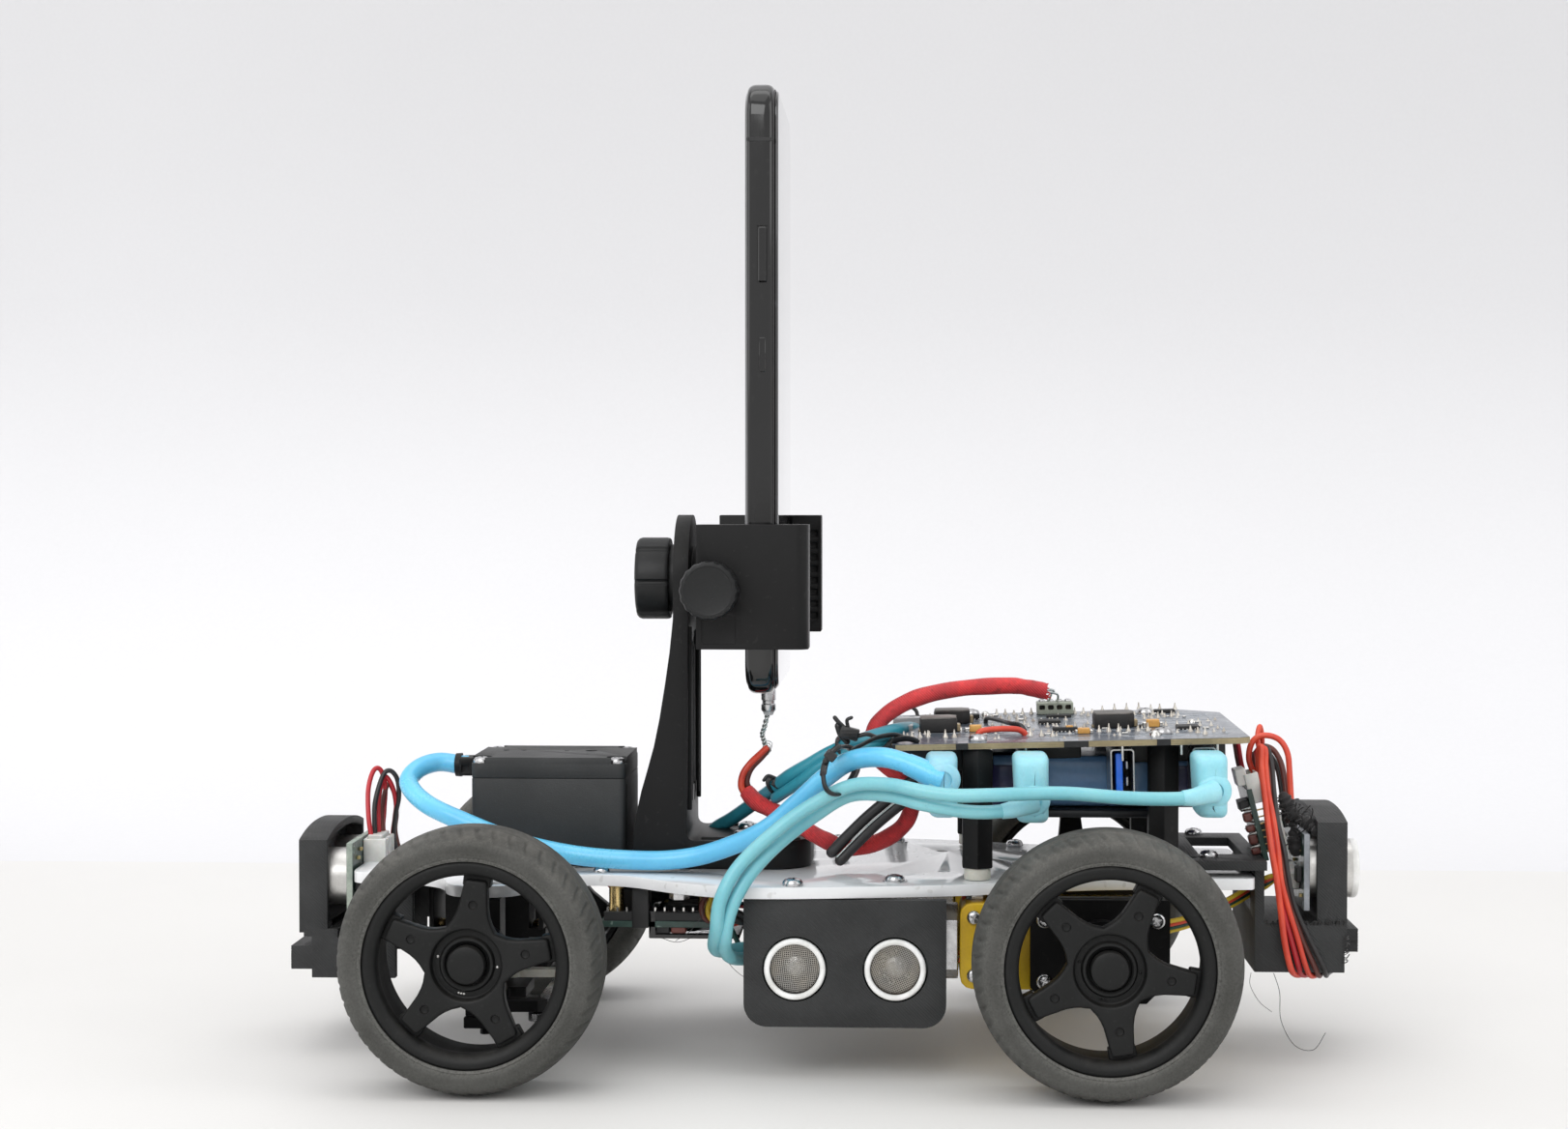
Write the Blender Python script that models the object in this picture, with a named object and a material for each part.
"""Small four-wheeled robot car that carries a phone upright in a clamp.

+Z is up, -X is the front (steered) end, +X the rear (driven) end and -Y the left side.
z = 0 is the ground under the tyres and the scene origin is the middle of the footprint.
Lengths are in millimetres, with x measured from the middle of the wheelbase; solid()
turns them into metres and moves them onto the footprint.
"""
import math

import bmesh
import bpy
from mathutils import Matrix, Vector

for old_object in list(bpy.data.objects):
    bpy.data.objects.remove(old_object, do_unlink=True)

MM = 0.001
GAP = 0.3                       # clearance between neighbouring solids
SIDES = {"left": -1, "right": 1}  # sign of y

# ---------------------------------------------------------------- driving dimensions
AXLE_MID_X = -7.3               # middle of the wheelbase, from the footprint's middle
WHEELBASE = 160.53
TRACK = 132.0
WHEEL_R = 34.0
AXLE_Z = WHEEL_R
FRONT_X = -WHEELBASE / 2
REAR_X = WHEELBASE / 2
WHEEL_Y = TRACK / 2

DECK_Z = (47.3, 50.3)
UNDER_DECK = DECK_Z[0] - GAP
ON_DECK = DECK_Z[1] + GAP
THROUGH_DECK = (DECK_Z[0] - 2, DECK_Z[1] + 2)

KING_Y = 46.0                   # steering pins
LINK_X = FRONT_X + 14.0         # outer end of the steering arms
GEARBOX_Y = 33.5                # middle of each gearbox
PIVOT_Z = 128.6                 # clamp's roll axis, along X at y = 0
SCREW_X, SCREW_Z = -21.1, 127.1  # clamp screw, along Y

# ---------------------------------------------------------------- materials


def material(name, color, roughness, metallic=0.0):
    result = bpy.data.materials.new(name)
    result.use_nodes = True
    inputs = result.node_tree.nodes["Principled BSDF"].inputs
    inputs["Base Color"].default_value = (*color, 1.0)
    inputs["Roughness"].default_value = roughness
    inputs["Metallic"].default_value = metallic
    return result


WHITE = material("white_acrylic", color=(0.86, 0.87, 0.88), roughness=0.12)
PRINT = material("black_print", color=(0.030, 0.031, 0.033), roughness=0.62)
MOULD = material("black_mould", color=(0.018, 0.019, 0.021), roughness=0.42)
RUBBER = material("rubber", color=(0.040, 0.040, 0.038), roughness=0.85)
RIM = material("rim_plastic", color=(0.030, 0.031, 0.033), roughness=0.55)
YELLOW = material("yellow_plastic", color=(0.78, 0.58, 0.03), roughness=0.35)
STEEL = material("steel", color=(0.62, 0.62, 0.63), roughness=0.3, metallic=1.0)
BRASS = material("brass", color=(0.72, 0.52, 0.22), roughness=0.3, metallic=1.0)
DARK_PCB = material("dark_pcb", color=(0.055, 0.072, 0.095), roughness=0.4)
GREEN_PCB = material("green_pcb", color=(0.035, 0.16, 0.13), roughness=0.45)
BLUE = material("sky_blue", color=(0.12, 0.56, 0.86), roughness=0.35)
TURQUOISE = material("turquoise", color=(0.16, 0.68, 0.78), roughness=0.35)
RED = material("red_sleeve", color=(0.60, 0.035, 0.035), roughness=0.7)
FILM = material("blue_film", color=(0.22, 0.38, 0.55), roughness=0.25)
GLASS = material("screen_glass", color=(0.010, 0.011, 0.013), roughness=0.06)
PHONE = material("phone_black", color=(0.008, 0.008, 0.009), roughness=0.12, metallic=0.2)
NYLON = material("gear_nylon", color=(0.80, 0.79, 0.74), roughness=0.5)
CHARCOAL = material("charcoal", color=(0.035, 0.037, 0.039), roughness=0.6)
GREY = material("grey_strip", color=(0.45, 0.46, 0.47), roughness=0.4, metallic=0.6)

# ---------------------------------------------------------------- spans: (low, high) pairs


def around(middle, half):
    return (middle - half, middle + half)


def inset(span, amount):
    return (span[0] + amount, span[1] - amount)


def outward(side, near, far, base=0.0):
    """y span between two distances outward from base, on the given side."""
    return tuple(sorted((side * (base + near), side * (base + far))))


# ---------------------------------------------------------------- outlines


def arc(radius, centre, degrees):
    return [(centre[0] + radius * math.cos(math.radians(a)),
             centre[1] + radius * math.sin(math.radians(a))) for a in degrees]


def circle(radius, centre, sides, phase=0.0):
    angles = [phase + 2 * math.pi * i / sides for i in range(sides)]
    return [(centre[0] + radius * math.cos(a), centre[1] + radius * math.sin(a))
            for a in angles]


def round_rect(span_u, span_v, radius, steps):
    (u0, u1), (v0, v1) = inset(span_u, radius), inset(span_v, radius)
    points = []
    for centre, start in (((u1, v1), 0), ((u0, v1), 90), ((u0, v0), 180), ((u1, v0), 270)):
        points += arc(radius, centre, [start + 90 * i / steps for i in range(steps + 1)])
    return points


def gear_outline(teeth, module, centre, phase, tip=0.78, root=1.15, thickness=0.40):
    """Straight-flanked teeth with backlash; one tooth is centred on phase.

    tip and root are in modules from the pitch circle, thickness in pitches.
    """
    pitch_r = teeth * module / 2
    tip_r = pitch_r + tip * module
    root_r = pitch_r - root * module
    pitch = 2 * math.pi / teeth
    half = pitch * thickness / 2
    half_root = half + math.tan(math.radians(20)) * root * module / root_r
    half_root = min(half_root, pitch * 0.42)
    half_tip = half - math.tan(math.radians(22)) * tip * module / tip_r
    half_tip = max(half_tip, 0.16 * half)
    tooth = ((root_r, -half_root), (tip_r, -half_tip), (tip_r, half_tip), (root_r, half_root))
    return [(centre[0] + radius * math.cos(phase + i * pitch + turn),
             centre[1] + radius * math.sin(phase + i * pitch + turn))
            for i in range(teeth) for radius, turn in tooth]


def rippled_circle(centre, radii):
    """One point per radius, evenly spaced round the centre."""
    count = len(radii)
    return [(centre[0] + radius * math.cos(2 * math.pi * i / count),
             centre[1] + radius * math.sin(2 * math.pi * i / count))
            for i, radius in enumerate(radii)]


# ---------------------------------------------------------------- shapes (bmesh)


def place(axis, u, v, w):
    """Point with w along the axis and u, v across it, in x, y, z order."""
    return Vector({"X": (w, u, v), "Y": (u, w, v), "Z": (u, v, w)}[axis])


def bridge(shape, ring, following):
    for i in range(len(ring)):
        j = (i + 1) % len(ring)
        shape.faces.new((ring[i], ring[j], following[j], following[i]))


def skin(rings):
    """Closed shape through equal-length rings of points, capped at both ends."""
    shape = bmesh.new()
    loops = [[shape.verts.new(point) for point in ring] for ring in rings]
    for ring, following in zip(loops, loops[1:]):
        bridge(shape, ring, following)
    shape.faces.new(list(reversed(loops[0])))
    shape.faces.new(loops[-1])
    return shape


def prism(outline, axis, span):
    return skin([[place(axis, u, v, w) for u, v in outline] for w in span])


def cylinder(radius, axis, centre, span, sides=24):
    return prism(circle(radius, centre, sides), axis, span)


def block(span_x, span_y, span_z):
    (x0, x1), (y0, y1) = span_x, span_y
    return prism([(x0, y0), (x1, y0), (x1, y1), (x0, y1)], "Z", span_z)


def smooth_path(points, steps=2):
    """Catmull-Rom path through the points."""
    points = [Vector(point) for point in points]
    padded = [points[0] * 2 - points[1], *points, points[-1] * 2 - points[-2]]
    path = []
    for p0, p1, p2, p3 in zip(padded, padded[1:], padded[2:], padded[3:]):
        for step in range(steps):
            t = step / steps
            path.append(0.5 * (2 * p1 + (p2 - p0) * t + (2 * p0 - 5 * p1 + 4 * p2 - p3) * t * t
                               + (3 * p1 - p0 - 3 * p2 + p3) * t ** 3))
    return path + [points[-1]]


def tube(points, radius, sides):
    """Round cable along a smooth path, with flat ends."""
    path = smooth_path(points)
    last = len(path) - 1
    rings = []
    normal = None
    for i, point in enumerate(path):
        tangent = (path[min(i + 1, last)] - path[max(i - 1, 0)]).normalized()
        if normal is None:
            normal = tangent.orthogonal().normalized()
        else:
            # carry the previous normal along, so the tube doesn't twist
            normal = (normal - tangent * normal.dot(tangent)).normalized()
        across = tangent.cross(normal)
        rings.append([point + normal * u + across * v
                      for u, v in circle(radius, (0, 0), sides)])
    return skin(rings)


# ---------------------------------------------------------------- objects


def solid(name, shape, mat, origin=(0, 0, 0)):
    """Object from a shape in millimetres, with its origin at the given point."""
    origin = Vector(origin)
    bmesh.ops.recalc_face_normals(shape, faces=shape.faces[:])
    if shape.calc_volume(signed=True) < 0:
        bmesh.ops.reverse_faces(shape, faces=shape.faces[:])
    for vert in shape.verts:
        vert.co = (vert.co - origin) * MM
    mesh = bpy.data.meshes.new(name)
    shape.to_mesh(mesh)
    shape.free()
    mesh.materials.append(mat)
    result = bpy.data.objects.new(name, mesh)
    bpy.context.scene.collection.objects.link(result)
    result.location = (origin + Vector((AXLE_MID_X, 0, 0))) * MM
    return result


def combine(target, shape, operation):
    """Apply a boolean with a throwaway solid."""
    mat = target.data.materials[0]
    tool = solid(target.name + "_tool", shape, mat)
    tool.hide_render = True
    modifier = target.modifiers.new("bool", "BOOLEAN")
    modifier.operation = operation
    modifier.solver = "EXACT"
    modifier.object = tool
    bpy.context.view_layer.update()
    evaluated = target.evaluated_get(bpy.context.evaluated_depsgraph_get())
    result = bpy.data.meshes.new_from_object(evaluated)
    target.modifiers.clear()
    spent = (target.data, tool.data)
    target.data = result
    bpy.data.objects.remove(tool, do_unlink=True)
    for mesh in spent:
        bpy.data.meshes.remove(mesh)
    # leave a single slot, whatever the boolean brought over
    result.materials.clear()
    result.materials.append(mat)
    for polygon in result.polygons:
        polygon.material_index = 0


def cut(target, *shapes):
    for shape in shapes:
        combine(target, shape, "DIFFERENCE")


def add(target, *shapes):
    for shape in shapes:
        combine(target, shape, "UNION")


def smooth(target, angle=35):
    target.data.shade_smooth()
    target.data.set_sharp_from_angle(angle=math.radians(angle))


# ---------------------------------------------------------------- deck
# (x, y) along the left edge, from the rear to the front
DECK_EDGE = [
    (122.3, -26.0), (121.6, -29.0), (119.0, -30.0), (107.0, -30.5), (94.0, -31.0),
    (81.5, -32.2), (66.0, -36.4), (50.6, -41.6), (40.5, -44.8), (20.0, -48.6),
    (6.0, -50.6), (-4.5, -51.6), (-14.5, -51.3), (-22.0, -48.6), (-30.0, -44.0),
    (-36.0, -39.2), (-41.0, -34.8), (-47.0, -31.5), (-52.0, -30.7), (-57.0, -31.2),
    (-62.0, -33.0), (-66.2, -36.6), (-68.8, -41.2), (-70.0, -46.0), (-72.4, -50.3),
    (-76.2, -52.4), (-80.3, -52.8), (-84.4, -52.4), (-88.2, -50.3), (-90.6, -46.0),
    (-91.8, -41.2), (-94.4, -36.6), (-98.6, -33.0), (-104.0, -31.0), (-111.0, -30.2),
    (-116.4, -29.2), (-118.8, -27.0), (-119.4, -23.0)]
KING_HOLE_R = 1.9               # steering pin holes in the deck and the axle beam


def build_deck():
    outline = DECK_EDGE + [(x, -y) for x, y in reversed(DECK_EDGE)]
    deck = solid("deck", prism(outline, "Z", DECK_Z), WHITE)
    for side in SIDES.values():
        cut(deck, cylinder(KING_HOLE_R, "Z", (FRONT_X, side * KING_Y), THROUGH_DECK, 16))
    cut(deck, prism(round_rect((-62, -50), (-7, 7), 3, 3), "Z", THROUGH_DECK))
    smooth(deck, 40)


# ---------------------------------------------------------------- phone stand
STAND_HALF_W = 19.5
STAND_TOP_R = 17.6
# (x, z) seen from the side: foot, front of the foot's bend, post, back down
STAND_PROFILE = [
    (-44.2, ON_DECK), (3.8, ON_DECK), (3.8, 58.0), (-25.4, 58.0), (-28.0, 58.9),
    (-29.4, 61.4), (-29.6, 65.0), (-29.3, 118.0), (-29.3, 147.0), (-33.5, 147.0),
    (-33.5, 118.0), (-35.4, 102.0), (-38.0, 86.0), (-40.7, 76.0), (-43.4, 65.0),
    (-44.2, 59.0)]


def build_stand():
    wide = STAND_HALF_W
    stand = solid("phone_stand", prism(STAND_PROFILE, "Y", (-wide, wide)), MOULD)
    # trimmed to a round top seen from behind
    face = [(-wide, 40.0), (wide, 40.0), (wide, 60.0)]
    face += arc(STAND_TOP_R, (0, PIVOT_Z), range(0, 181, 15))
    face.append((-wide, 60.0))
    combine(stand, prism(face, "X", (-60, 20)), "INTERSECT")
    # and to rounded rear corners of the foot seen from above
    plan = [(-60.0, -wide)]
    plan += arc(11.0, (-7.2, -8.5), range(-90, 1, 15))
    plan += arc(11.0, (-7.2, 8.5), range(0, 91, 15))
    plan.append((-60.0, wide))
    combine(stand, prism(plan, "Z", (45, 160)), "INTERSECT")
    cut(stand, cylinder(2.9, "X", (0, PIVOT_Z), (-60, 0), 20))
    for side in SIDES.values():  # two upright slots through the post
        cut(stand, block((-60, 0), around(side * 7.5, 1.6), (66, 112)))
    smooth(stand)


# ---------------------------------------------------------------- electronics box, at the front
BOX_X, BOX_Y = (-88.7, -46.4), (-18.0, 16.0)
BOX_SPLIT_Z, BOX_TOP_Z = 74.6, 80.3
BOX_WALL = 2.0
BOX_NOTCH = (around(BOX_X[0], 3), (-9.0, 0.0))  # x and y of the cable opening in the front wall
LID_HOLE_XS = (-86.0, -81.0, -69.0, -63.0)


def build_box():
    outer = round_rect(BOX_X, BOX_Y, 1.6, 2)
    hollow = round_rect(inset(BOX_X, BOX_WALL), inset(BOX_Y, BOX_WALL), 1.0, 1)

    base = solid("box_base", prism(outer, "Z", (ON_DECK, BOX_SPLIT_Z)), CHARCOAL)
    cut(base,
        prism(hollow, "Z", (ON_DECK + BOX_WALL, BOX_SPLIT_Z + 2)),
        block(*BOX_NOTCH, (73, 90)))
    smooth(base)

    lid = solid("box_lid", prism(outer, "Z", (BOX_SPLIT_Z + GAP, BOX_TOP_Z)), CHARCOAL)
    cut(lid,
        prism(hollow, "Z", (BOX_SPLIT_Z - 2, BOX_TOP_Z - BOX_WALL)),
        block(*BOX_NOTCH, (60, 79.3)))
    for x in LID_HOLE_XS:
        cut(lid, cylinder(0.9, "Z", (x, 2), (BOX_TOP_Z - 4, BOX_TOP_Z + 2), 6))
    smooth(lid)

    plate = block(inset(BOX_X, 3), inset(BOX_Y, 3), (60.0, 61.6))
    board = solid("box_circuit_board", plate, GREEN_PCB)
    add(board,
        block((-80, -66), (-8, 6), (61.0, 63.4)),
        block((-60, -52), (-10, -2), (61.0, 65.0)),
        block((-58, -52), (3, 10), (61, 64)))


# ---------------------------------------------------------------- main board, standoffs, battery
BOARD_CENTRE = Vector((72.6, 0.0, 87.2))
BOARD_TILT = (Matrix.Rotation(math.radians(-1.5), 4, "Y")
              @ Matrix.Rotation(math.radians(0.7), 4, "X"))
BOARD_HALF_T = 0.8
STANDOFFS = (("front", 48.5, 34.8), ("rear", 97.8, 27.5))  # end, x, distance from y = 0
SOCKET_XS = (38.9, 61.8, 86.2, 107.6)
OPEN_SOCKET_X = 86.2            # the left socket here is hollow


def board_underside(x, y):
    """Height of the tilted board's underside over a point."""
    normal = BOARD_TILT @ Vector((0, 0, 1))
    point = BOARD_CENTRE - normal * BOARD_HALF_T
    return point.z - (normal.x * (x - point.x) + normal.y * (y - point.y)) / normal.z


def build_standoffs():
    for end, x, distance in STANDOFFS:
        for side_name, side in SIDES.items():
            y = side * distance
            probes = ((x - 4, y), (x + 4, y), (x, y - 4), (x, y + 4))
            top = min(board_underside(*probe) for probe in probes) - GAP
            hexagon = circle(4.55, (x, y), 6, math.radians(30))
            post = solid(f"standoff_{end}_{side_name}", prism(hexagon, "Z", (53.0, top)), MOULD)
            add(post, cylinder(3.4, "Z", (x, y), (ON_DECK, 54.0), 18))
            smooth(post)


def build_main_board():
    """Built flat about its own centre, then tilted into place."""
    flat = block((-46.7, 46.7), (-40, 40), around(0, BOARD_HALF_T))
    board = solid("main_board", flat, DARK_PCB)
    cut(board,  # clipped rear corners
        prism([(34, 48), (48, 48), (48, 27)], "Z", (-5, 5)),
        prism([(44, -48), (48, -48), (48, -37)], "Z", (-5, 5)))
    for side in SIDES.values():
        for x in SOCKET_XS:
            span_x = around(x - BOARD_CENTRE.x, 3.2)
            add(board, block(span_x, outward(side, 21, 36.5), (-16.2, -0.5)))
    cut(board, block(around(OPEN_SOCKET_X - BOARD_CENTRE.x, 2.7), (-40, -26), (-15.6, -2.2)))
    board.location = (BOARD_CENTRE + Vector((AXLE_MID_X, 0, 0))) * MM
    board.rotation_euler = BOARD_TILT.to_euler()


def build_battery():
    section = round_rect((-19.5, 19.5), (67.6, 83.0), 4.5, 3)
    pack = solid("battery_pack", prism(section, "X", (53, 112)), FILM)
    cut(pack, block((50, 115), (-25, 25), (81.5, 90)))  # flat top
    smooth(pack)


def build_controller():
    """Board hung under the deck, with parts on top."""
    plate = block((-52, -20), (-30, 14), (36.2, 37.8))
    board = solid("controller_board", plate, GREEN_PCB)
    for x in (-48, -24):
        cut(board, cylinder(1.6, "Z", (x, -26), (30, 45), 12))
    add(board,
        block((-50.5, -41), (-19, -8), (37, 44.5)),
        block((-36, -24), (-14, -2), (37, 39.8)),
        block((-51, -22), (6, 12), (37, 45.5)))


# ---------------------------------------------------------------- sensors and brackets
EYE_HALF_PITCH = 13.0           # each sensor has two round eyes
EYE_R, EYE_BORE_R = 8.0, 6.2
BRACKET_Y = (-24.0, 24.0)       # front and rear brackets
SENSOR_Y = (-22.5, 22.5)        # front and rear sensors


def eye_centres(middle, z):
    return [(middle - EYE_HALF_PITCH, z), (middle + EYE_HALF_PITCH, z)]


SIDE_EYES = eye_centres(14.0, 29.0)
FRONT_EYES = eye_centres(0.0, 47.0)
REAR_EYES = eye_centres(0.0, 51.0)


def cut_eye_holes(bracket, radius, axis, centres, span):
    for centre in centres:
        cut(bracket, cylinder(radius, axis, centre, span))


def add_eyes(sensor, axis, centres, barrel, bore):
    for centre in centres:
        add(sensor, cylinder(EYE_R, axis, centre, barrel))
        cut(sensor, cylinder(EYE_BORE_R, axis, centre, bore, 20))


def build_side_sensor(side_name, side):
    plate = prism(round_rect((-12.3, 40.2), (13.9, 60.0), 6, 4), "Y",
                  outward(side, 46.9, 50.2))
    bracket = solid("side_bracket_" + side_name, plate, PRINT)
    cut(bracket, block((-20, 50), (-70, 70), (UNDER_DECK, 70)))
    # flange under the deck
    add(bracket, block((-12, 16), outward(side, 36, 49), (44.8, UNDER_DECK)))
    cut_eye_holes(bracket, 8.45, "Y", SIDE_EYES, outward(side, 40, 60))
    smooth(bracket)

    plate = block((-9, 37), outward(side, 43.6, 45.2), (18.5, 39.5))
    sensor = solid("side_sensor_" + side_name, plate, GREEN_PCB)
    add_eyes(sensor, "Y", SIDE_EYES,
             barrel=outward(side, 44.5, 51.2), bore=outward(side, 48.2, 56))
    add(sensor,  # parts on the inner face
        block((8, 17), outward(side, 40.6, 44), (33, 38)),
        block((9.5, 17.5), outward(side, 41.8, 44), (21, 26)))
    smooth(sensor)


# (y, z) of the front bracket's arched plate and of the hollow behind it
FRONT_ARCH = [(-24.0, 33.0), (24.0, 33.0), (24.0, 58.0), (17.0, 60.6), (9.0, 62.2),
              (0.0, 62.8), (-9.0, 62.2), (-17.0, 60.6), (-24.0, 58.0)]
FRONT_HOLLOW = [(-22.0, 30.0), (22.0, 30.0), (22.0, 56.3), (15.0, 58.6),
                (0.0, 60.4), (-15.0, 58.6), (-22.0, 56.3)]


def build_front_sensor():
    bracket = solid("front_bracket", prism(FRONT_ARCH, "X", (-134.7, -127.0)), PRINT)
    cut(bracket, prism(FRONT_HOLLOW, "X", (-131.7, -120.0)))
    add(bracket,
        block((-131.3, -108.5), BRACKET_Y, (20.8, 34.0)),        # lower box
        block((-133.5, -127.0), BRACKET_Y, (32.0, 35.6)),        # joint with the arch
        block((-137.0, -131.0), BRACKET_Y, (23.1, 29.4)),        # bar across the front
        block((-113.5, -104.5), (-20, 20), (30.0, UNDER_DECK)))  # riser to the deck
    cut(bracket,
        block((-128.0, -100.0), (-21, 21), (10.0, 30.9)),        # inside of the lower box
        block((-111.0, -100.0), (-17, 17), (10.0, 43.5)),        # inside of the riser
        block((-124.2, -113.4), (-30, 30), (31.8, 40.0)),        # trough behind the sensor
        block((-131.8, -124.0), (-18, 18), (33.5, 35.5)))        # slot below the eyes
    cut_eye_holes(bracket, 8.35, "X", FRONT_EYES, (-140, -125))
    smooth(bracket)

    sensor = solid("front_sensor", block((-122.0, -120.4), SENSOR_Y, (36.8, 57.2)), GREEN_PCB)
    add_eyes(sensor, "X", FRONT_EYES, barrel=(-134, -121), bore=(-140, -131))
    add(sensor, block((-121, -113.5), (-5, 7), (51, 57)))
    smooth(sensor)


# (y, z) of what is cut away above the rear bracket's curved top edge
REAR_TOP_CUT = [(-30, 64.4), (-24, 64.6), (-9, 66.6), (9, 66.6), (24, 64.6), (30, 64.4),
                (30, 80), (-30, 80)]
REAR_LEG_X = (122.6, 125.1)
REAR_LUGS = ((106.0, -22.0), (106.0, 22.0))


def build_rear_sensor():
    bracket = solid("rear_bracket", block((139.1, 147.0), BRACKET_Y, (34.8, 67.0)), PRINT)
    cut(bracket,
        prism(REAR_TOP_CUT, "X", (120, 150)),
        block((136, 144), (-22, 22), (39.6, 62.6)))              # sensor recess
    add(bracket,
        block((REAR_LEG_X[0], 146.4), BRACKET_Y, (24.5, 37.6)),  # lower box
        block((145.5, 151.6), (-14, 14), (28.4, 34.6)))          # bar across the rear
    cut(bracket, block((REAR_LEG_X[1], 144), (-21, 21), (20, 35.4)))
    add(bracket,
        block((103.5, REAR_LEG_X[1]), (-29.5, 29.5), (52.4, 54.8)),  # flange over the deck
        block(REAR_LEG_X, BRACKET_Y, (24.5, 54.0)))
    for centre in REAR_LUGS:
        add(bracket, cylinder(2.6, "Z", centre, (ON_DECK, 53), 16))
    cut(bracket,
        block((108.6, 120.6), (-15, 19), (48, 60)),              # window in the flange
        cylinder(1.5, "Z", REAR_LUGS[0], (48, 60), 12),
        block((120, 127), (-14, 14), (39.6, 49.0)))              # window in the leg
    cut_eye_holes(bracket, 8.35, "X", REAR_EYES, (137, 150))
    smooth(bracket)

    sensor = solid("rear_sensor", block((135.8, 137.3), SENSOR_Y, (40.8, 61.2)), GREEN_PCB)
    add_eyes(sensor, "X", REAR_EYES, barrel=(136.8, 150.9), bore=(147.7, 155))
    add(sensor, block((129.8, 136.4), (-6, 6), (54.5, 60.5)))
    smooth(sensor)


# ---------------------------------------------------------------- rear drive
MODULE = 0.8
SMALL_TEETH, LARGE_TEETH = 8, 20
SHAFT_PITCH = (SMALL_TEETH + LARGE_TEETH) * MODULE / 2
COMPOUND_X = REAR_X - SHAFT_PITCH
CROWN_X = REAR_X - 2 * SHAFT_PITCH
LARGE_PHASE = math.pi + math.pi / LARGE_TEETH  # a gap faces the small gear in front
CROWN_TEETH = 20
CROWN_TOOTH_R = (6.1, 7.0)      # inner and outer ends of a face tooth
CROWN_TOOTH = ((0.42, -3.8), (0.30, -2.15))  # half width and y offset at foot and tip
GEARBOX_X = (43.8, 91.8)
GEARBOX_HALF_H, GEARBOX_HALF_W, GEARBOX_WALL = 11.25, 9.4, 1.6
MOTOR_R, MOTOR_HALF_W = 10.0, 7.6
# (x, z) of the mounting plate between gearbox and wheel
MOUNT_OUTLINE = [(62.0, 24.0), (66.0, 20.0), (92.0, 20.0), (98.0, 26.0), (98.0, 46.9),
                 (62.0, 46.9)]


def gear_span(side, near, far):
    """y span measured outward from the middle of the gearbox."""
    return outward(side, near, far, GEARBOX_Y)


def build_gearbox(side_name, side):
    height = around(AXLE_Z, GEARBOX_HALF_H)
    inner_half = GEARBOX_HALF_W - GEARBOX_WALL
    through = gear_span(side, -12, 12)
    case = prism(round_rect(GEARBOX_X, height, 3.2, 3), "Y",
                 gear_span(side, -GEARBOX_HALF_W, GEARBOX_HALF_W))
    gearbox = solid("gearbox_" + side_name, case, YELLOW)
    cavity = round_rect(inset(GEARBOX_X, GEARBOX_WALL), inset(height, GEARBOX_WALL), 2.0, 2)
    cut(gearbox,
        prism(cavity, "Y", gear_span(side, -inner_half, inner_half)),
        cylinder(3.1, "Y", (REAR_X, AXLE_Z), through, 16),
        cylinder(1.4, "Y", (CROWN_X, AXLE_Z), through, 8),
        cylinder(1.4, "Y", (COMPOUND_X, AXLE_Z), through, 8),
        cylinder(4.2, "X", (side * GEARBOX_Y, AXLE_Z), (40, 47), 16))
    smooth(gearbox)


def build_motor(side_name, side):
    centre = (side * GEARBOX_Y, AXLE_Z)
    # round can, flattened left and right
    section = [(centre[0] + max(-MOTOR_HALF_W, min(MOTOR_HALF_W, y)), AXLE_Z + z)
               for y, z in arc(MOTOR_R, (0, 0), range(0, 360, 20))]
    can = solid("motor_can_" + side_name, prism(section, "X", (19, 43.5)), STEEL)
    add(can,  # bosses at the rear and front ends
        cylinder(3.8, "X", centre, (43, 45.5), 12),
        cylinder(2.4, "X", centre, (17.2, 19.5), 10))
    smooth(can)

    # one tooth points inward, at the crown gear
    outline = gear_outline(8, 0.65, centre, math.radians(90 + side * 90),
                           tip=0.85, root=1.1, thickness=0.36)
    pinion = solid("motor_pinion_" + side_name, prism(outline, "X", (48.9, CROWN_X - 5.965)),
                   BRASS, origin=(48.0, *centre))
    add(pinion, cylinder(0.9, "X", centre, (45.9, 49.5), 8))


def crown_tooth(side, angle):
    """Face tooth standing outward on the crown gear's disc."""
    inner, outer = CROWN_TOOTH_R
    rings = []
    for half, offset in CROWN_TOOTH:
        corners = ((inner, -half), (outer, -half * 1.08), (outer, half * 1.08), (inner, half))
        rings.append([Vector((CROWN_X + u * math.cos(angle) - v * math.sin(angle),
                              side * (GEARBOX_Y + offset),
                              AXLE_Z + u * math.sin(angle) + v * math.cos(angle)))
                      for u, v in corners])
    return skin(rings)


def spur(side, teeth, x, near, far):
    phase = LARGE_PHASE if teeth == LARGE_TEETH else 0.0
    return prism(gear_outline(teeth, MODULE, (x, AXLE_Z), phase), "Y",
                 gear_span(side, near, far))


def shaft(side, x):
    return cylinder(1.0, "Y", (x, AXLE_Z), gear_span(side, -9, 9), 8)


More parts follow.
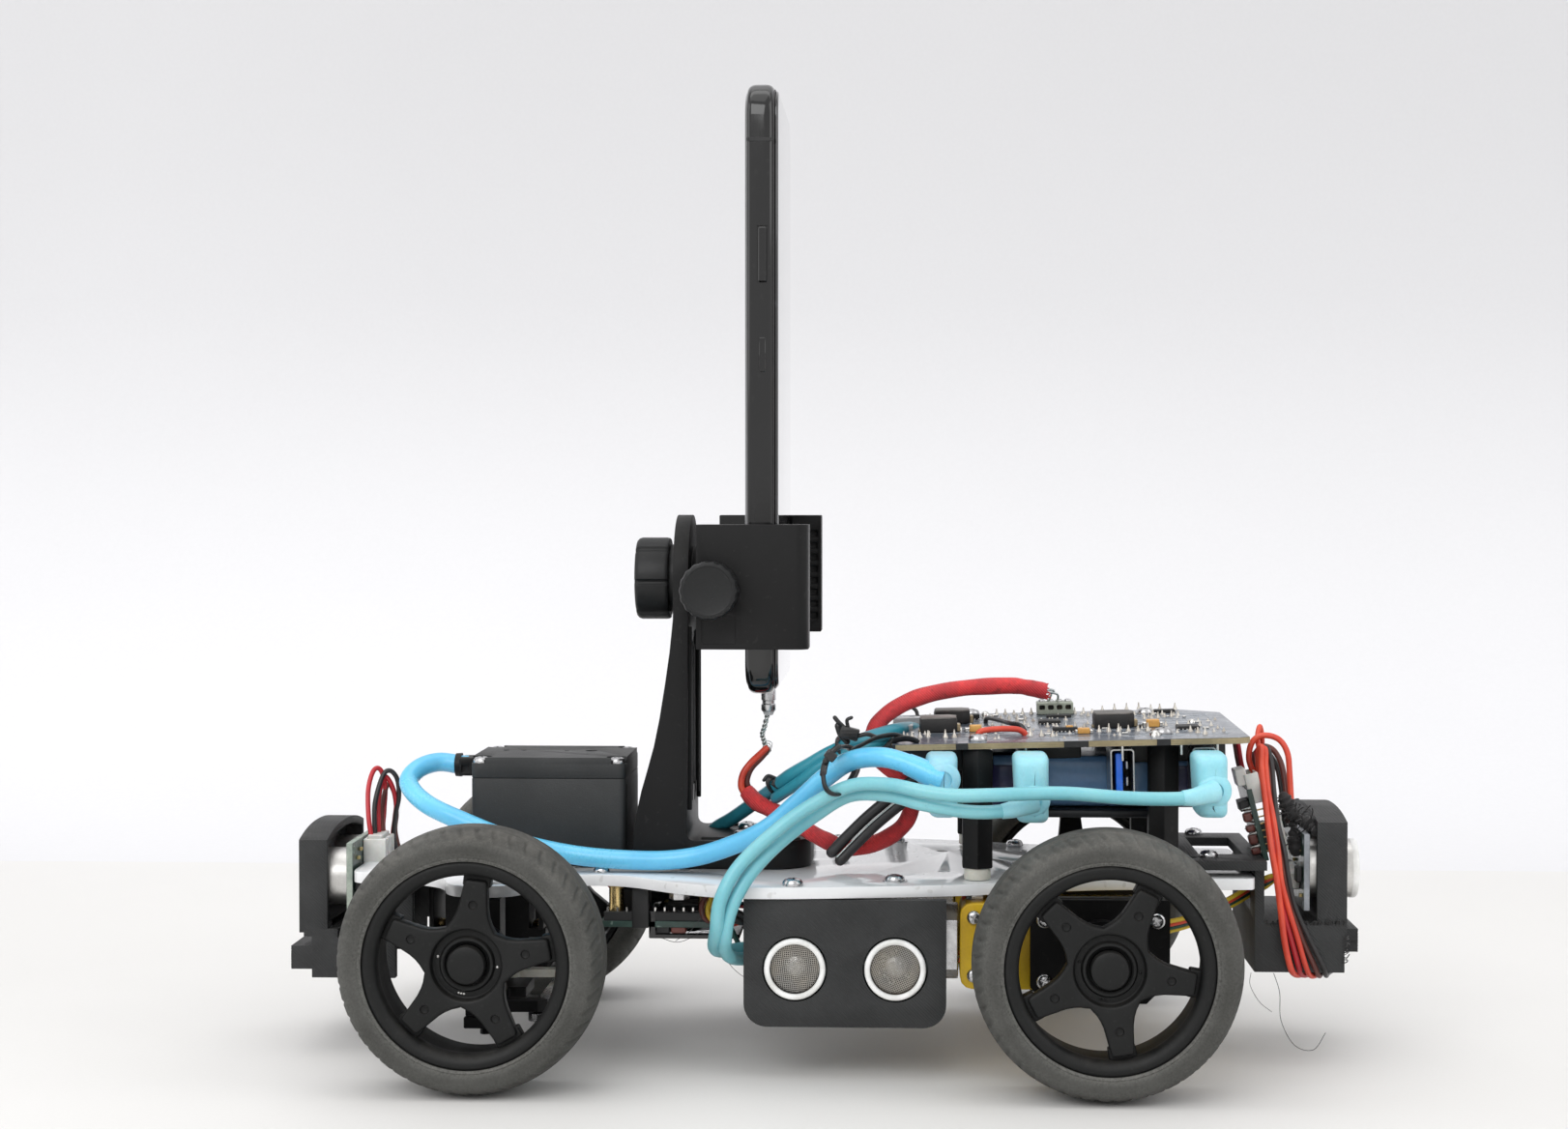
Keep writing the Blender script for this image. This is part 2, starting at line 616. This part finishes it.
def build_gears(side_name, side):
    def gear(name, shape, x):
        return solid(f"{name}_{side_name}", shape, NYLON, origin=(x, side * GEARBOX_Y, AXLE_Z))

    disc = cylinder(7.1, "Y", (CROWN_X, AXLE_Z), gear_span(side, -5.2, -3.6), 20)
    crown = gear("crown_gear", disc, CROWN_X)
    for i in range(CROWN_TEETH):
        add(crown, crown_tooth(side, math.pi + (i + 0.5) * 2 * math.pi / CROWN_TEETH))
    add(crown, spur(side, SMALL_TEETH, CROWN_X, -4.0, 0.9), shaft(side, CROWN_X))

    compound = gear("compound_gear", spur(side, LARGE_TEETH, COMPOUND_X, -1.6, 0.7), COMPOUND_X)
    add(compound, spur(side, SMALL_TEETH, COMPOUND_X, 0.4, 5.2), shaft(side, COMPOUND_X))

    output = gear("axle_gear", spur(side, LARGE_TEETH, REAR_X, 1.3, 4.7), REAR_X)
    add(output,  # stub inside the gearbox, then the axle out to the wheel
        cylinder(2.0, "Y", (REAR_X, AXLE_Z), gear_span(side, -9, 2), 12),
        cylinder(2.7, "Y", (REAR_X, AXLE_Z), gear_span(side, 4, 38), 16))


def build_motor_mount(side_name, side):
    mount = solid("motor_mount_" + side_name,
                  prism(MOUNT_OUTLINE, "Y", gear_span(side, 9.8, 12.9)), PRINT)
    add(mount,  # axle boss, and flange under the deck
        cylinder(8.0, "Y", (REAR_X, AXLE_Z), gear_span(side, 12.5, 16.6)),
        block((62, 98), gear_span(side, -9, 10.5), (45.7, UNDER_DECK)))
    cut(mount,
        cylinder(3.2, "Y", (REAR_X, AXLE_Z), gear_span(side, 5, 20), 16),
        block((63.5, 96.5), gear_span(side, -4, 7), (44, 50)))
    smooth(mount)


# ---------------------------------------------------------------- front steering
BEAM_X = (-85.5, -75.2)
HANGER_X = (BEAM_X[0], -82.0)
SERVO_Y = (-6.1, 6.1)


def steering_arm(y, root, tip, span_z):
    """Arm reaching back to LINK_X, with its half widths at root and tip."""
    outline = [(FRONT_X, y - root), (LINK_X, y - tip), (LINK_X + tip, y),
               (LINK_X, y + tip), (FRONT_X, y + root)]
    return prism(outline, "Z", span_z)


def link_pin(y):
    return cylinder(1.1, "Z", (LINK_X, y), (13, 18), 12)


def build_axle_beam():
    beam = solid("axle_beam", block(BEAM_X, (-50, 50), (12.6, 15.6)), MOULD)
    for side in (-1, 1):  # notches in the rear edge
        cut(beam, block((-80, -60), outward(side, 8, 34), (10, 20)))
    for side in (1, -1):  # hangers up to the deck
        add(beam, block(HANGER_X, outward(side, 8.5, 13.5), (15, UNDER_DECK)))
    for side in (-1, 1):
        cut(beam, cylinder(KING_HOLE_R, "Z", (FRONT_X, side * KING_Y), (8, 20), 16))


def build_servo():
    servo = solid("steering_servo", block((-97.9, -74.6), SERVO_Y, (24.6, 46.9)), MOULD)
    add(servo,  # mounting ears and output boss
        block((-102.4, -70.0), SERVO_Y, (29.2, 31.6)),
        cylinder(5.6, "Z", (FRONT_X, 0), (20.6, 25.0)))
    for x in (-100.2, -72.2):
        cut(servo, cylinder(1.1, "Z", (x, 0), (25, 35), 12))
    smooth(servo)

    hub = cylinder(3.4, "Z", (FRONT_X, 0), (17.3, 20.3), 20)
    horn = solid("servo_horn", hub, NYLON, origin=(FRONT_X, 0, 18))
    add(horn, steering_arm(0, 2.4, 1.9, (17.3, 19.5)), link_pin(0))


def build_tie_rod():
    strip = prism(round_rect(around(LINK_X, 2.8), (-49, 49), 2.7, 3), "Z", (14.3, 16.3))
    rod = solid("tie_rod", strip, GREY, origin=(LINK_X, -KING_Y, 15.3))
    for y in (-KING_Y, 0, KING_Y):
        cut(rod, cylinder(1.5, "Z", (LINK_X, y), (10, 20), 14))
    smooth(rod)


def build_knuckle(side_name, side):
    y = side * KING_Y
    post = block(around(FRONT_X, 4.6), outward(side, -4.2, 4.6, KING_Y), (16.2, 46.6))
    knuckle = solid("knuckle_" + side_name, post, MOULD, origin=(FRONT_X, y, AXLE_Z))
    add(knuckle,
        cylinder(1.5, "Z", (FRONT_X, y), (10.6, 52.6), 12),  # steering pin
        cylinder(2.6, "Y", (FRONT_X, AXLE_Z), outward(side, KING_Y, 72), 16),  # stub axle
        cylinder(6.4, "Y", (FRONT_X, AXLE_Z), outward(side, 4, 6.6, KING_Y), 16),
        steering_arm(y, 3.2, 2.4, (16.8, 19.8)),
        link_pin(y))
    smooth(knuckle)


# ---------------------------------------------------------------- wheels
WHEEL_SIDES = 20                # flats round the tyre; one lies on the ground
# name, x, side, angle of the first spoke in degrees
WHEELS = (("front_left", FRONT_X, -1, 15.0), ("front_right", FRONT_X, 1, 40.0),
          ("rear_left", REAR_X, -1, 63.0), ("rear_right", REAR_X, 1, 20.0))
# (radius, outward offset from the wheel's middle): bead, sidewall, rounded tread
TYRE_PROFILE = [(26.6, -12.2), (28.8, -13.0), (31.6, -12.2), (33.4, -8.0), (WHEEL_R, -2.5),
                (WHEEL_R, 2.5), (33.4, 8.0), (31.6, 12.2), (28.8, 13.0), (26.6, 12.2)]
BARREL_PROFILE = [(26.1, -12.0), (26.1, 12.0), (22.6, 12.0), (22.6, 6.0), (24.6, 4.0),
                  (24.6, -12.0)]
# (radius, degrees from the spoke's middle line) for one of the five spokes
SPOKE_POINTS = ((10.8, -36.0), (13.6, -20.0), (23.6, -8.6), (23.6, 8.6), (13.6, 20.0))


def lathe(profile, x, side, scale=1.0):
    """Revolve a closed wheel profile about the axle, its radii scaled."""
    shape = bmesh.new()
    rings = []
    for i in range(WHEEL_SIDES):
        angle = math.pi / WHEEL_SIDES + 2 * math.pi * i / WHEEL_SIDES
        rings.append([shape.verts.new((x + radius * scale * math.cos(angle),
                                       side * (WHEEL_Y + offset),
                                       AXLE_Z + radius * scale * math.sin(angle)))
                      for radius, offset in profile])
    for ring, following in zip(rings, rings[1:] + rings[:1]):
        bridge(shape, ring, following)
    return shape


def build_wheel(name, x, side, spoke_angle):
    centre = (x, AXLE_Z)
    origin = (x, side * WHEEL_Y, AXLE_Z)

    def disc(radius, near, far, sides):
        return cylinder(radius, "Y", centre, outward(side, near, far, WHEEL_Y), sides)

    # radii are to the flats, so the corners lie further out
    to_corner = 1 / math.cos(math.pi / WHEEL_SIDES)
    tyre = solid("tyre_" + name, lathe(TYRE_PROFILE, x, side, to_corner), RUBBER, origin)
    smooth(tyre, 50)

    rim = solid("rim_" + name, lathe(BARREL_PROFILE, x, side), RIM, origin)
    star = []
    for k in range(5):
        for radius, turn in SPOKE_POINTS:
            star += arc(radius, centre, [spoke_angle + k * 72 + turn])
    add(rim,
        prism(star, "Y", outward(side, 6.6, 11.0, WHEEL_Y)),
        disc(9.4, 4.0, 9.5, 20),
        disc(5.6, -8.0, 5.0, 16))
    cut(rim, disc(7.2, 8.6, 20.0, 20))   # recess in the outer face of the hub
    add(rim, disc(4.8, 8.0, 11.4, 16))   # cap in the recess
    cut(rim, disc(3.1, -20.0, 6.6, 16))  # axle hole
    smooth(rim, 30)


# ---------------------------------------------------------------- clamp
BODY_Z = (111.5, 144.0)
JAW_Z = (112.0, 145.8)
CLAMP_X0 = -24.9                # front face of the body and the jaw


def build_clamp_body():
    """Fixed left jaw with an arm reaching right, behind the stand."""
    body = solid("clamp_body", block((CLAMP_X0, 4.3), (-46, -38.1), BODY_Z), MOULD)
    add(body,
        block((CLAMP_X0, -12.6), (-40, 37.6), (115, 142)),
        block((-3.6, 4.3), (-39, -34.3), BODY_Z),  # lip over the phone's edge
        cylinder(9.0, "X", (0, PIVOT_Z), (-28.9, -24)))
    cut(body,
        cylinder(2.7, "X", (0, PIVOT_Z), (-40, -25.1), 20),
        cylinder(2.5, "Y", (SCREW_X, SCREW_Z), (-60, 60), 16),
        block((-18.5, -10), (7, 60), (132, 138)))  # channel for the jaw's tongue
    smooth(body)


def build_clamp_jaw():
    """Moving right jaw."""
    jaw = solid("clamp_jaw", block((CLAMP_X0, 5.0), (38.3, 44.4), JAW_Z), MOULD)
    add(jaw,  # lip and tongue
        block((-3.6, 5.0), (34.4, 39), JAW_Z),
        block((-18.1, -13), (8, 39), (132.4, 137.6)))
    cut(jaw, cylinder(2.6, "Y", (SCREW_X, SCREW_Z), (30, 60), 16))
    for k in range(7):  # grooves across the rear face
        cut(jaw, block((4.2, 6), (33, 46), (115.6 + 4.1 * k, 117.2 + 4.1 * k)))
    smooth(jaw)


def build_clamp_screw():
    centre = (SCREW_X, SCREW_Z)
    radii = [7.3 + 0.35 * math.cos(12 * 2 * math.pi * i / 36) for i in range(36)]
    head = prism(rippled_circle(centre, radii), "Y", (-55, -46.6))
    screw = solid("clamp_screw", head, MOULD, origin=(SCREW_X, 0, SCREW_Z))
    add(screw, cylinder(2.15, "Y", centre, (-47, 54), 12))
    smooth(screw, 30)


def build_clamp_knob():
    centre = (0, PIVOT_Z)
    radii = [11.15 + (0.15 if i % 2 else -0.45) for i in range(40)]
    head = prism(rippled_circle(centre, radii), "X", (-44.8, -35.6))
    knob = solid("clamp_knob", head, MOULD, origin=(-40, 0, PIVOT_Z))
    add(knob,
        cylinder(9.4, "X", centre, (-36, -33.9)),
        cylinder(2.35, "X", centre, (-35, -25.5), 16))
    smooth(knob, 30)


# ---------------------------------------------------------------- phone, screen to the rear
PHONE_HALF_W = 37.5
PHONE_Z = (98.8, 260.3)
PHONE_CORNER_R = 9.0
# (x, inset from the outline), from the back of the phone; the body ends in a screen recess
BODY_SECTIONS = ((-12.0, 3.2), (-11.4, 1.3), (-9.8, 0.1), (-8.0, 0.0), (-6.2, 0.1),
                 (-4.5, 1.5), (-4.5, 2.0), (-5.3, 2.0))
SCREEN_SECTIONS = ((-5.0, 2.3), (-4.35, 2.3), (-4.0, 2.7))
KEY_Z = (207.6, 222.0)
PLUG_X = -8.5
PLUG_SECTIONS = ((1.5, 92.0), (2.0, 92.5), (2.0, 97.9), (1.5, 98.4))  # (radius, z)


def slab(sections):
    rings = []
    for x, amount in sections:
        outline = round_rect(inset((-PHONE_HALF_W, PHONE_HALF_W), amount),
                             inset(PHONE_Z, amount), PHONE_CORNER_R - amount, 3)
        rings.append([place("X", y, z, x) for y, z in outline])
    return skin(rings)


def build_phone():
    body = solid("phone_body", slab(BODY_SECTIONS), PHONE)
    cut(body,  # key slot and plug socket
        block((-9.5, -6.7), (-40.0, -36.3), inset(KEY_Z, -GAP)),
        cylinder(1.5, "Z", (PLUG_X, 0), (90, 108), 14))
    smooth(body, 40)
    smooth(solid("phone_screen", slab(SCREEN_SECTIONS), GLASS), 40)


def build_volume_key():
    key = solid("volume_key", block((-9.2, -7.0), (-38.0, -36.9), KEY_Z), PHONE,
                origin=(-8.1, -37.4, sum(KEY_Z) / 2))
    bevel = key.modifiers.new("bevel", "BEVEL")
    bevel.width = 0.25 * MM
    bevel.segments = 1
    bevel.limit_method = "ANGLE"
    bevel.angle_limit = math.radians(60)
    bevel.use_clamp_overlap = True


def build_plug():
    centre = (PLUG_X, 0)
    rings = [[place("Z", x, y, z) for x, y in circle(radius, centre, 16)]
             for radius, z in PLUG_SECTIONS]
    plug = solid("phone_plug", skin(rings), STEEL)
    add(plug,
        cylinder(1.1, "Z", centre, (98, 107), 12),
        cylinder(1.2, "Z", centre, (87, 92.5), 12))
    smooth(plug, 40)


# ---------------------------------------------------------------- cables: (x, y, z) stations
BLUE_PATH = [
    (-91.5, -4.5, 76.8), (-94.0, -4.5, 76.9), (-100.0, -5.0, 77.6), (-105.0, -8.5, 76.0),
    (-106.6, -13.5, 72.5), (-100.5, -21.0, 68.0), (-89.6, -26.0, 63.8), (-75.0, -28.0, 58.6),
    (-60.0, -27.5, 55.2), (-44.8, -27.0, 53.8), (-32.0, -27.0, 54.0), (-21.0, -29.0, 56.6),
    (-8.0, -32.5, 62.6), (1.0, -36.5, 70.4), (8.5, -40.5, 77.6), (15.5, -45.0, 82.6),
    (24.0, -50.0, 84.0), (32.5, -52.6, 81.8), (39.5, -50.5, 79.0)]
TURQUOISE_A_PATH = [
    (108.4, -52.0, 76.5), (105.4, -58.2, 75.6), (98.0, -61.0, 75.0), (85.0, -61.4, 75.2),
    (69.0, -62.4, 76.4), (52.0, -63.4, 76.0), (42.0, -63.2, 75.8), (34.0, -61.5, 76.6),
    (25.0, -57.8, 77.9), (15.5, -53.6, 77.0), (5.5, -51.6, 71.8), (-4.0, -52.6, 65.0),
    (-13.0, -57.0, 56.6), (-17.6, -59.2, 48.2), (-18.8, -57.6, 40.0), (-19.8, -50.4, 34.6),
    (-17.8, -43.5, 32.4), (-10.0, -36.0, 32.4), (-2.0, -30.0, 33.5)]
TURQUOISE_B_PATH = [
    (62.4, -52.0, 73.8), (59.0, -57.6, 72.2), (52.0, -59.4, 71.2), (44.0, -59.6, 71.4),
    (34.0, -58.6, 73.0), (25.0, -54.0, 74.7), (15.0, -48.9, 73.9), (6.0, -47.0, 68.4),
    (-2.0, -48.4, 62.4), (-8.6, -53.4, 56.0), (-12.4, -56.4, 49.6), (-13.8, -56.8, 43.6),
    (-15.0, -53.6, 36.6), (-16.0, -47.4, 29.6), (-15.0, -41.4, 27.0), (-9.0, -35.5, 26.4),
    (-2.0, -30.0, 27.0)]
POWER_PATH = [
    (67.5, 12.0, 97.0), (58.0, 10.0, 98.2), (44.0, 4.0, 97.6), (32.0, -4.0, 95.4),
    (23.6, -9.0, 91.0), (20.6, -10.5, 85.4), (22.2, -11.5, 80.0), (28.0, -12.0, 75.0),
    (31.2, -12.5, 69.4), (29.6, -13.0, 62.6), (23.0, -13.6, 57.6), (14.0, -14.2, 55.6),
    (7.6, -14.6, 58.2), (1.5, -13.0, 62.0), (-5.0, -9.6, 65.4), (-11.0, -5.6, 67.6),
    (-14.0, -3.0, 70.6)]


def add_plug(cable, span_x, span_z, tongue_x):
    """Plug housing at the main board's left edge, with a tongue reaching inward."""
    add(cable,
        prism(round_rect(span_x, span_z, 1.6, 2), "Y", (-56, -41.2)),
        block(tongue_x, (-42, -37.2), (71.5, 82.5)))


def build_cables():
    blue = solid("blue_cable", tube(BLUE_PATH, 2.7, 7), BLUE)
    add_plug(blue, (34.8, 43.0), (68.6, 85.0), tongue_x=(36.6, 41.2))
    add(blue,  # plug in the box's opening
        block((-93.6, -89.2), (-8.6, -0.4), (74.6, 79.0)),
        block((-90.0, -85.2), (-7.6, -1.4), (75.6, 77.6)))
    smooth(blue)

    cable = solid("turquoise_cable_a", tube(TURQUOISE_A_PATH, 1.75, 6), TURQUOISE)
    add_plug(cable, (103.2, 112.0), (69.0, 85.6), tongue_x=(105.2, 110.0))
    smooth(cable)

    cable = solid("turquoise_cable_b", tube(TURQUOISE_B_PATH, 1.75, 6), TURQUOISE)
    add_plug(cable, (57.2, 66.4), (67.4, 85.2), tongue_x=(59.6, 64.2))
    smooth(cable)

    smooth(solid("power_lead", tube(POWER_PATH, 2.3, 7), RED))


# ---------------------------------------------------------------- the car
build_deck()
build_stand()
build_box()
build_standoffs()
build_main_board()
build_battery()
build_controller()
for entry in SIDES.items():
    build_side_sensor(*entry)
build_front_sensor()
build_rear_sensor()
for entry in SIDES.items():
    build_gearbox(*entry)
    build_motor(*entry)
    build_gears(*entry)
    build_motor_mount(*entry)
build_axle_beam()
build_servo()
build_tie_rod()
for entry in SIDES.items():
    build_knuckle(*entry)
for entry in WHEELS:
    build_wheel(*entry)
build_clamp_body()
build_clamp_jaw()
build_clamp_screw()
build_clamp_knob()
build_phone()
build_volume_key()
build_plug()
build_cables()
